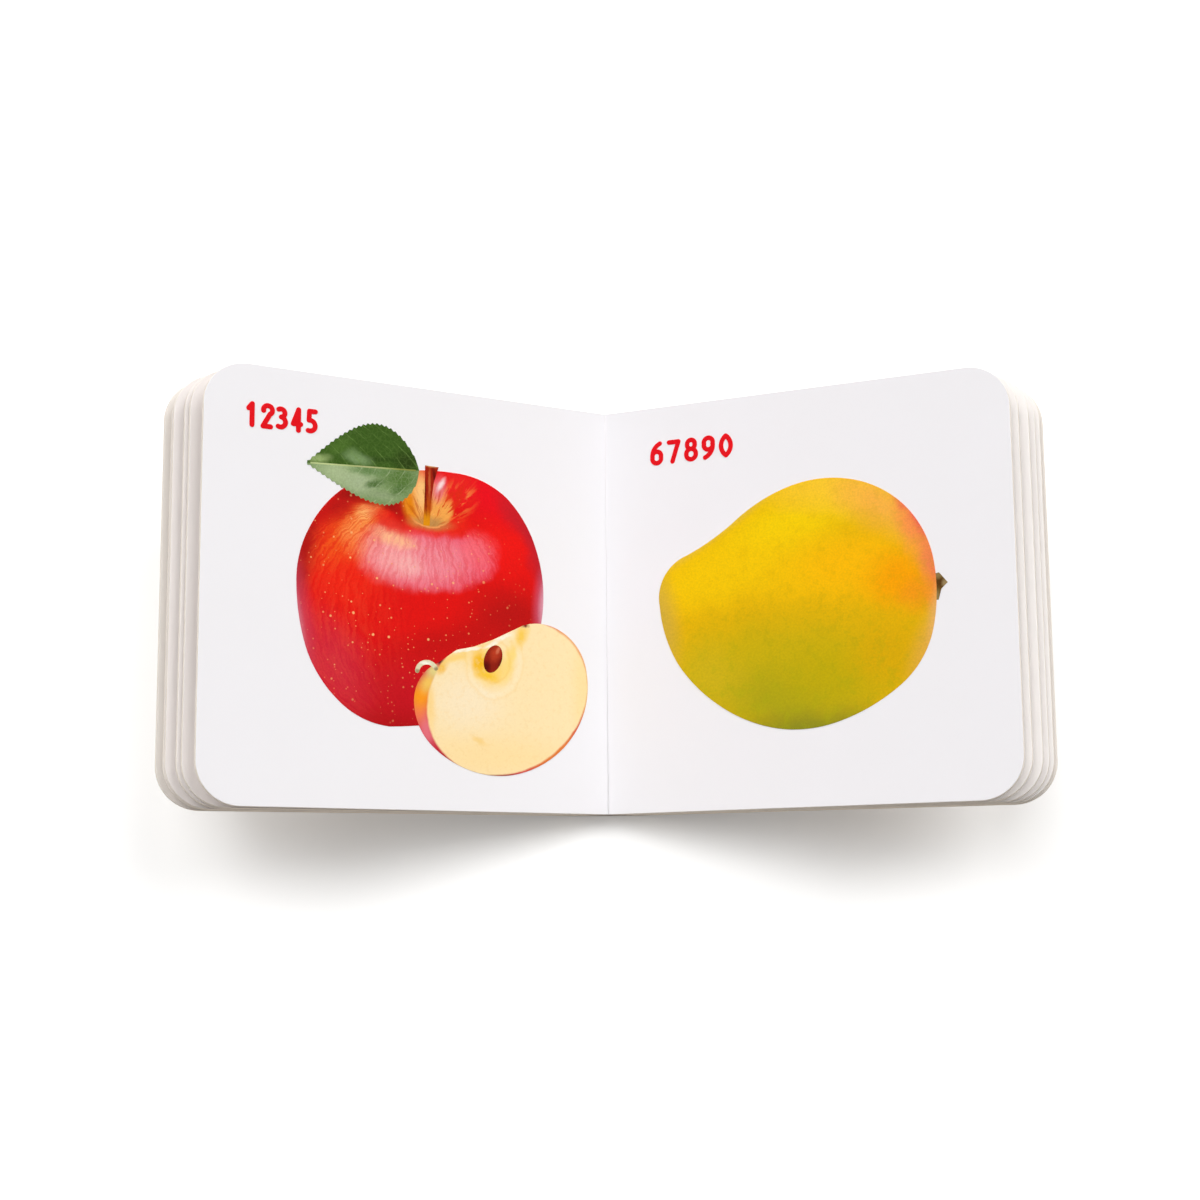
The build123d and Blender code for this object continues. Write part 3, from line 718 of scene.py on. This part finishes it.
yellowFruit = dict(
    skin="#E4B206", screen=0.07, drift=(2.4, 7.0),
    mottle={"Scale": 0.3, "Detail": 6.0, "Roughness": 0.72},
    greenSpot=dict(colour="#A2A812", levels=(0.48, 0.64), amount=0.4),
    deepSpot=dict(colour="#D09E02", levels=(0.48, 0.64), amount=0.24),
    greenArea=dict(at=(-4, -22), size=(32, 18), soft=0.8), ripeArea=dict(at=(8, 4), size=(40, 26)),
    fields=(
        dict(colour="#F5CE06", at=(-6, 15), size=(20, 8.5), turn=28),
        dict(colour="#F3C606", at=(-24, 7), size=(13, 6), turn=20),
        dict(colour="#F3C206", at=(0, 6), size=(13, 7), amount=0.8),
        dict(colour="#F9C82E", at=(8, 25), size=(15, 4.6), turn=-8),
        dict(colour="#F9BA06", at=(14, 6), size=(13, 7)),
        dict(colour="#F7A202", at=(24, 2), size=(7.5, 5.5)),
        dict(colour="#F9B444", at=(19, 20), size=(9.5, 4.2), soft=0.95, turn=-38),
        dict(colour="#F8914A", at=(28, 13), size=(3.4, 8.0), turn=22),
        dict(colour="#F0804E", at=(31.5, 4), size=(2.4, 8.0), turn=4),
        dict(colour="#EC5650", at=(27.4, 17.8), size=(2.0, 6.4), soft=0.8, turn=35),
        dict(colour="#E23448", at=(25.8, 21.0), size=(1.0, 4.0), soft=0.8, turn=44, amount=0.9),
        dict(colour="#F2921A", at=(28, -2), size=(3.6, 3.4), amount=0.7),
        dict(colour="#C8AE0E", at=(-8, -15), size=(21, 9.5)),
        dict(colour="#AEA315", at=(-4, -24.4), size=(18, 6.5)),
        dict(colour="#C2AB08", at=(8, -19), size=(12, 7), amount=0.8),
        dict(colour="#8E8C1E", at=(-1, -32.2), size=(18, 4.0), turn=4),
        dict(colour="#CCB11A", at=(-23, -18), size=(6, 8), turn=40, amount=0.8),
        dict(colour="#D8A806", at=(21, -15), size=(8, 7), amount=0.8),
    ),
    haze=(
        dict(colour="#CFAA3A", at=(-36.4, -4), size=(4.4, 12), soft=0.8, turn=8, amount=0.9),
        dict(colour="#E4AA4C", at=(33.0, -13), size=(4.4, 11), turn=-25, amount=0.9),
        dict(colour="#E8B070", at=(33.4, -7), size=(2.6, 8), soft=0.8, turn=-10, amount=0.8),
        dict(colour="#E2BE50", at=(-20, 18.0), size=(14, 1.4), turn=32, amount=0.6),
    ),
)


def yellowFruitInk():
    fruit = yellowFruit
    material, tree, surface, where = inkMaterial("yellowFruitInk", "right")
    loose = wander(tree, where, *fruit["drift"])
    colour = paintFields(tree, loose, linearColour(fruit["skin"]), fruit["fields"])
    mottle = addNode(tree, "TexNoise", {"Vector": where, **fruit["mottle"]}).outputs["Fac"]
    for spot, area in (("greenSpot", "greenArea"), ("deepSpot", "ripeArea")):
        within = fieldMask(tree, where, fruit[area])
        colour = paintPattern(tree, colour, mottle, fruit[spot], within)
    colour = paintFields(tree, where, colour, fruit["haze"])
    finishInk(tree, surface, where, colour, fruit["screen"])
    return material


printLeaf = dict(
    base=(0.7, 29.8), turn=182.5, screen=0.1, drift=(0.7, 1.8), bladeDrift=(0.35, 2.6),
    veinSpacing=3.5, veinLean=0.58, veinCurve=1.25, veinLevels=(0.24, 0.03),
    veinPatches={"Scale": 0.4, "Detail": 2.0}, patchLevels=(0.35, 0.65), veinAmount=0.6,
    netScale=0.9, netLevels=(0.12, 0.0), netAmount=0.16, halfEdge=0.15,
    lightHalf="#7B9460", darkHalf="#3B591D", lightVein="#A9B98C", darkVein="#6C8A45",
    lightFields=(
        dict(colour="#A7B88B", at=(-18.5, 27.0), size=(5.2, 2.8), turn=-10),
        dict(colour="#A2B28A", at=(-13.5, 25.2), size=(3.4, 2.2)),
        dict(colour="#587639", at=(-3.8, 27.4), size=(3.8, 2.8)),
        dict(colour="#5F8048", at=(-12.0, 28.4), size=(4.0, 0.9), turn=3, amount=0.8),
        dict(colour="#4A6932", at=(-10.4, 25.5), size=(2.2, 0.8), soft=0.8, turn=20, amount=0.9),
        dict(colour="#8E9F76", at=(-8.6, 22.8), size=(3.4, 1.0), amount=0.9),
        dict(colour="#4E6D35", at=(-4.4, 24.6), size=(1.6, 0.9), turn=40, amount=0.9),
    ),
    darkFields=(
        dict(colour="#4D6E2A", at=(-19, 33.4), size=(3.0, 1.4), turn=30, amount=0.8),
        dict(colour="#2D4013", at=(-2.4, 31.8), size=(2.6, 2.2)),
        dict(colour="#2E4516", at=(-9.5, 31.5), size=(5.5, 0.7), turn=2, amount=0.7),
        dict(colour="#93A96A", at=(-23.8, 29.9), size=(2.4, 0.9), turn=8),
        dict(colour="#84A06C", at=(-14.4, 31.0), size=(3.0, 1.3), soft=0.8, turn=-6, amount=0.75),
        dict(colour="#76935C", at=(-15.6, 32.4), size=(1.4, 1.0), amount=0.5),
    ),
)


def leafInk():
    leaf = printLeaf
    material, tree, surface, where = inkMaterial("greenLeafInk", "left")
    loose = wander(tree, where, *leaf["drift"])
    blade = addNode(tree, "Mapping", {
        "Vector": wander(tree, where, *leaf["bladeDrift"]), "Location": (*leaf["base"], 0),
        "Rotation": (0, 0, radians(leaf["turn"]))}, vector_type="TEXTURE").outputs[0]

    # Side veins leave the rib at a slant and curve towards the tip, clear only in places
    apart = addNode(tree, "SeparateXYZ", {0: blade})
    away = addNode(tree, "Math", {0: apart.outputs[1]}, operation="ABSOLUTE")
    curved = addNode(tree, "Math", {
        0: away.outputs[0], 1: leaf["veinCurve"]}, operation="POWER")
    lean = addNode(tree, "Math", {
        0: curved.outputs[0], 1: leaf["veinLean"]}, operation="MULTIPLY")
    run = addNode(tree, "Math", {
        0: apart.outputs[0], 1: lean.outputs[0]}, operation="SUBTRACT")
    fromVein = addNode(tree, "Math", {
        0: run.outputs[0], 1: leaf["veinSpacing"] / 2}, operation="PINGPONG").outputs[0]
    patches = addNode(tree, "TexNoise", {"Vector": where, **leaf["veinPatches"]})
    low, high = leaf["patchLevels"]
    clear = addNode(tree, "MapRange", {
        0: patches.outputs["Fac"], 1: low, 2: high, 3: 0.0, 4: leaf["veinAmount"]},
        interpolation_type="SMOOTHSTEP").outputs[0]
    net = addNode(tree, "TexVoronoi", {
        "Vector": loose, "Scale": leaf["netScale"]}, feature="DISTANCE_TO_EDGE")

    halves = []
    for half in ("light", "dark"):
        vein = leaf[half + "Vein"]
        tone = paintFields(tree, loose, linearColour(leaf[half + "Half"]), leaf[half + "Fields"])
        netLook = dict(colour=vein, levels=leaf["netLevels"], amount=leaf["netAmount"])
        veinLook = dict(colour=vein, levels=leaf["veinLevels"])
        tone = paintPattern(tree, tone, net.outputs["Distance"], netLook)
        halves.append(paintPattern(tree, tone, fromVein, veinLook, clear))
    upperSide = addNode(tree, "MapRange", {
        0: apart.outputs[1], 1: leaf["halfEdge"], 2: -leaf["halfEdge"]}).outputs[0]
    colour = addNode(tree, "Mix", {
        0: upperSide, 6: halves[0], 7: halves[1]}, data_type="RGBA").outputs[2]
    finishInk(tree, surface, where, colour, leaf["screen"])
    return material


simpleFinish = dict(softness=0.8, drift=0.3)  # drift is a share of the print's size

simplePrints = {
    "leafRibInk": dict(side="left", base="#A3B26E", size=1.4, fields=(
        dict(colour="#BCC98C", at=(-22, 29), size=(5, 3)),
        dict(colour="#848B42", at=(-2, 30), size=(4, 3)),
        dict(colour="#AEB27A", at=(-12, 29.5), size=(3, 3)),
    )),
    "stemInk": dict(side="left", base="#9C220C", size=0.9, fields=(
        dict(colour="#B84A0A", at=(2.8, 21.4), size=(1.6, 2.2)),
        dict(colour="#DE8E10", at=(2.6, 17.6), size=(1.8, 2.2)),
        dict(colour="#640F08", at=(4.9, 27.4), size=(0.42, 3.6), turn=12),
        dict(colour="#74160A", at=(2.2, 25.5), size=(0.3, 5.0), turn=3),
        dict(colour="#C05A2A", at=(3.3, 27.0), size=(0.3, 3.2)),
        dict(colour="#E8B674", at=(3.7, 31.6), size=(1.6, 0.5)),
    )),
    "seedInk": dict(side="left", base="#8C2012", size=1.0, fields=(
        dict(colour="#B63A20", at=(20.2, -12.4), size=(1.2, 1.8), turn=-20),
        dict(colour="#CE6A4A", at=(20.9, -11.6), size=(0.4, 0.9), turn=-25),
        dict(colour="#5A100B", at=(17.7, -15.8), size=(1.1, 1.3)),
        dict(colour="#641610", at=(21.6, -14.8), size=(0.5, 1.8), turn=-20),
        dict(colour="#6A1610", at=(17.4, -12.8), size=(0.4, 2.0), turn=-22),
    )),
    "drySepalInk": dict(side="left", base="#E0D8B2", size=0.8, fields=(
        dict(colour="#A3936A", at=(0.6, -17.8), size=(0.7, 0.5)),
        dict(colour="#F6F2E0", at=(2.4, -15.8), size=(1.3, 0.4)),
        dict(colour="#A08C62", at=(5.3, -17.1), size=(0.6, 0.6)),
    )),
    "stubInk": dict(side="right", base="#6E5224", size=0.8, fields=(
        dict(colour="#573815", at=(33.1, 0.2), size=(1.5, 1.2)),
        dict(colour="#8C7548", at=(32.0, 2.0), size=(1.6, 0.8)),
        dict(colour="#9A8358", at=(34.0, 0.0), size=(0.7, 0.8)),
        dict(colour="#8E7A4C", at=(31.9, -3.0), size=(0.8, 1.4)),
    )),
    "leftNumeralInk": dict(side="left", base="#E8161F", size=2.0, fields=(
        dict(colour="#DE0F1B", at=(-32, 38), size=(9, 5), amount=0.6),
    )),
    "rightNumeralInk": dict(side="right", base="#E8161F", size=2.0, fields=(
        dict(colour="#DE0F1B", at=(-28, 38), size=(9, 5), amount=0.6),
    )),
}


def simpleInk(name):
    ink = simplePrints[name]
    material, tree, surface, where = inkMaterial(name, ink["side"])
    loose = wander(tree, where, simpleFinish["drift"] * ink["size"], ink["size"])
    fields = [dict(field, soft=simpleFinish["softness"]) for field in ink["fields"]]
    colour = paintFields(tree, loose, linearColour(ink["base"]), fields)
    finishInk(tree, surface, where, colour)
    return material


slicePrint = dict(
    skin="#D2404C", flesh="#FBE2B0", screen=0.02,
    drift=(0.8, 2.4), skinDrift=(0.3, 1.2), arcDrift=(1.0, 3.4), cutDrift=(0.25, 3.0),
    cut=dict(at=(23.75, -22.65), size=(21.9, 17.35), turn=31.4, soft=0.03),
    fibres={"Scale": 0.8, "Detail": 4.0, "Roughness": 0.65},
    fibre=dict(colour="#F5D494", levels=(0.5, 0.68), amount=0.35),
    skinFields=(
        dict(colour="#E4707C", at=(2.8, -31.5), size=(1.2, 5.0), turn=12),
        dict(colour="#F07850", at=(0.6, -27.2), size=(2.2, 2.6)),
        dict(colour="#F8981E", at=(1.4, -23.6), size=(2.6, 2.8)),
        dict(colour="#F2C25C", at=(3.2, -20.4), size=(1.5, 2.2), turn=-30),
        dict(colour="#E2CE84", at=(4.6, -17.6), size=(1.6, 1.5)),
        dict(colour="#BC2034", at=(8.8, -38.9), size=(6.0, 1.5), turn=-38),
        dict(colour="#9C3428", at=(19, -41.6), size=(7.5, 0.9)),
        dict(colour="#E07C3C", at=(36, -36.0), size=(8.5, 2.6), turn=42),
        dict(colour="#E8A05A", at=(44.6, -18), size=(2.4, 11)),
        dict(colour="#5E1420", at=(6.2, -15.2), size=(0.9, 0.6)),
        dict(colour="#EDB074", at=(41, -7), size=(8.0, 3.6), turn=-45),
    ),
    fields=(
        dict(colour="#FDDEA2", at=(20, -37), size=(18, 4.5), amount=0.9),
        dict(colour="#FAE6C2", at=(13, -24), size=(8, 6), amount=0.9),
        dict(colour="#F8DC9C", at=(43.5, -20), size=(2.6, 12), amount=0.8),
        dict(colour="#FBD05C", at=(18.6, -15.6), size=(4.6, 3.8), turn=-30),
        dict(colour="#F4B81C", at=(16.0, -14.8), size=(1.7, 2.6), turn=12),
        dict(colour="#F7C63A", at=(18.2, -18.0), size=(2.4, 1.0), turn=-10),
        dict(colour="#FBD878", at=(24.0, -13.6), size=(1.2, 4.2), turn=-16, amount=0.9),
        dict(colour="#F9CC58", at=(26.8, -8.0), size=(1.4, 2.8), turn=-24),
        dict(colour="#FBD274", at=(10.5, -14.0), size=(5.0, 1.0), turn=16, amount=0.9),
        dict(colour="#F4BC40", at=(6.4, -16.6), size=(1.6, 1.0), turn=40, amount=0.9),
        dict(colour="#FBD384", at=(3.6, -25), size=(1.2, 6), turn=4, amount=0.8),
        dict(colour="#FFF6E4", at=(20.8, -9.3), size=(3.6, 0.5), soft=0.6, turn=27, amount=0.9),
        dict(colour="#FFF6E4", at=(13.0, -12.0), size=(3.6, 0.4), soft=0.6, turn=12, amount=0.8),
        dict(colour="#F6CB6E", at=(16.0, -33.4), size=(1.8, 0.6), turn=-30, amount=0.6),
        dict(colour="#7A2A26", at=(28.0, -5.3), size=(0.7, 0.3), turn=20),
    ),
    arcs=(
        dict(colour="#F5CF80", at=(20, -14.2), size=(7.4, 9.4), turn=-8, width=0.07, amount=0.24),
        dict(colour="#FFF3DC", at=(20, -14.2), size=(6.4, 8.2), turn=-8, width=0.18, amount=0.22),
        dict(colour="#F3C050", at=(19.6, -14.4), size=(4.3, 5), turn=-14, width=0.14, amount=0.25),
    ),
)


def sliceInk():
    fruit = slicePrint
    material, tree, surface, where = inkMaterial("fruitSliceInk", "left")
    skinAt = wander(tree, where, *fruit["skinDrift"])
    skin = paintFields(tree, skinAt, linearColour(fruit["skin"]), fruit["skinFields"])
    loose = wander(tree, where, *fruit["drift"])
    flesh = paintFields(tree, loose, linearColour(fruit["flesh"]), fruit["fields"])
    arcAt = wander(tree, where, *fruit["arcDrift"])
    for arc in fruit["arcs"]:
        flesh = paint(tree, flesh, arcMask(tree, arcAt, arc), arc["colour"])
    fibres = addNode(tree, "TexNoise", {"Vector": where, **fruit["fibres"]}).outputs["Fac"]
    flesh = paintPattern(tree, flesh, fibres, fruit["fibre"])
    inside = fieldMask(tree, wander(tree, where, *fruit["cutDrift"]), fruit["cut"])
    colour = addNode(tree, "Mix", {0: inside, 6: skin, 7: flesh}, data_type="RGBA").outputs[2]
    finishInk(tree, surface, where, colour, fruit["screen"])
    return material


redInk, yellowInk, cutInk = redFruitInk(), yellowFruitInk(), sliceInk()
inkOf = {
    "red_fruit_print": redInk, "fruit_hollow_print": redInk, "fruit_shine_print": redInk,
    "fruit_stem_print": simpleInk("stemInk"),
    "leaf_blade_print": leafInk(), "leaf_rib_print": simpleInk("leafRibInk"),
    "slice_skin_print": cutInk, "slice_flesh_print": cutInk,
    "slice_seed_print": simpleInk("seedInk"), "slice_curl_print": simpleInk("drySepalInk"),
    "left_numerals_print": simpleInk("leftNumeralInk"),
    "right_numerals_print": simpleInk("rightNumeralInk"),
    "yellow_fruit_print": yellowInk, "fruit_blush_print": yellowInk,
    "fruit_green_print": yellowInk, "fruit_stub_print": simpleInk("stubInk"),
}
for name, ink in inkOf.items():
    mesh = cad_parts[name].data
    mesh.materials.clear()
    mesh.materials.append(ink)
print("print done:", len(inkOf), "fields")


# Frame ties

for piece, node, body, slotName in (
        (pageBlock, "pages", "book_block", "page_board"),
        (spineStrip, "spine_strip", "book_block", "cover_board"),
        (frontCover, "front_cover", "front_board", "cover_board"),
        (backCover, "back_cover", "back_board", "cover_board")):
    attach(piece, body)
    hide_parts(node)
print("pieces tied to the frame")


# Studio

studio = dict(
    floorSize=3.0, floorDrop=0.1,
    floorColour="#EDE3D7",  # what the floor throws back on the book, warmer than what is seen
    seenColour="#FFFFFF", glow=0.2, glowColour="#FFFDFA",
    skyFront=0.15, skyBack=0.25, skyTurn=(-0.7, 0.8),  # the room is brighter beyond the page's top
    softboxes=(
        dict(name="topSoftbox", level=0.37, towards=(-0.19, 0.33, 0.93), spread=36),
        dict(name="rightSoftbox", level=0.46, towards=(0.5, 0.5, 0.71), spread=36),
        dict(name="leftSoftbox", level=0.27, towards=(-0.5, 0.5, 0.71), spread=36),
    ),
)


def buildFloor():
    deselectAll()
    drop = studio["floorDrop"] * millimetre
    bpy.ops.mesh.primitive_plane_add(size=studio["floorSize"], location=(0, 0, -drop))
    bpy.ops.object.transform_apply(location=True, rotation=True, scale=True)
    floor = bpy.context.object
    floor.name = "paperSweep"
    material = bpy.data.materials.new("paleSweep")
    material.use_nodes = True
    tree = material.node_tree
    tree.nodes.clear()
    rays = addNode(tree, "LightPath")
    seen = addNode(tree, "Math", {
        0: rays.outputs["Is Camera Ray"], 1: rays.outputs["Is Glossy Ray"]},
        operation="MAXIMUM").outputs[0]
    tone = addNode(tree, "Mix", {
        0: seen, 6: linearColour(studio["floorColour"]), 7: linearColour(studio["seenColour"])},
        data_type="RGBA")
    paper = addNode(tree, "BsdfDiffuse", {"Color": tone.outputs[2]})
    strength = addNode(tree, "Math", {0: seen, 1: studio["glow"]}, operation="MULTIPLY")
    glow = addNode(tree, "Emission", {
        "Color": linearColour(studio["glowColour"]), "Strength": strength.outputs[0]})
    both = addNode(tree, "AddShader", {0: paper.outputs[0], 1: glow.outputs[0]})
    addNode(tree, "OutputMaterial", {"Surface": both.outputs[0]})
    floor.data.materials.append(material)


def buildLights():
    world = bpy.data.worlds.new("paleRoom")
    bpy.context.scene.world = world
    world.use_nodes = True
    tree = world.node_tree
    tree.nodes.clear()
    rays = addNode(tree, "LightPath")
    direction = addNode(tree, "TexCoord").outputs["Generated"]
    apart = addNode(tree, "SeparateXYZ", {0: direction})
    low, high = studio["skyTurn"]
    room = addNode(tree, "MapRange", {
        0: apart.outputs[1], 1: low, 2: high, 3: studio["skyFront"], 4: studio["skyBack"]},
        interpolation_type="SMOOTHSTEP")
    level = addNode(tree, "MapRange", {
        0: rays.outputs["Is Camera Ray"], 3: room.outputs[0], 4: 1.0})
    sky = addNode(tree, "Background", {"Color": (1, 1, 1, 1), "Strength": level.outputs[0]})
    addNode(tree, "OutputWorld", {"Surface": sky.outputs[0]})
    for box in studio["softboxes"]:
        lamp = bpy.data.lights.new(box["name"], "SUN")
        lamp.energy = box["level"] * pi
        lamp.angle = radians(box["spread"])
        softbox = bpy.data.objects.new(box["name"], lamp)
        bpy.context.scene.collection.objects.link(softbox)
        softbox.location = Vector(box["towards"])
        softbox.rotation_euler = softbox.location.to_track_quat("Z", "Y").to_euler()


photoCamera = dict(  # solved from the page corners in the photo
    location=(-0.015628, -0.077021, 0.429078), turn=(0.136739, -0.051314, -0.011024),
    lens=52.469, sensorWidth=36.0, shift=(-0.02908, 0.07275), clipStart=0.01,
)


def buildCamera():
    view = photoCamera
    lens = bpy.data.cameras.new("photoCamera")
    lens.lens, lens.sensor_width = view["lens"], view["sensorWidth"]
    lens.shift_x, lens.shift_y = view["shift"]
    lens.clip_start = view["clipStart"]
    camera = bpy.data.objects.new("photoCamera", lens)
    bpy.context.scene.collection.objects.link(camera)
    camera.location, camera.rotation_euler = view["location"], view["turn"]
    bpy.context.scene.camera = camera
    bpy.context.scene.view_settings.view_transform = "Standard"


buildFloor()
buildLights()
buildCamera()
deselectAll()
print("studio and camera done")
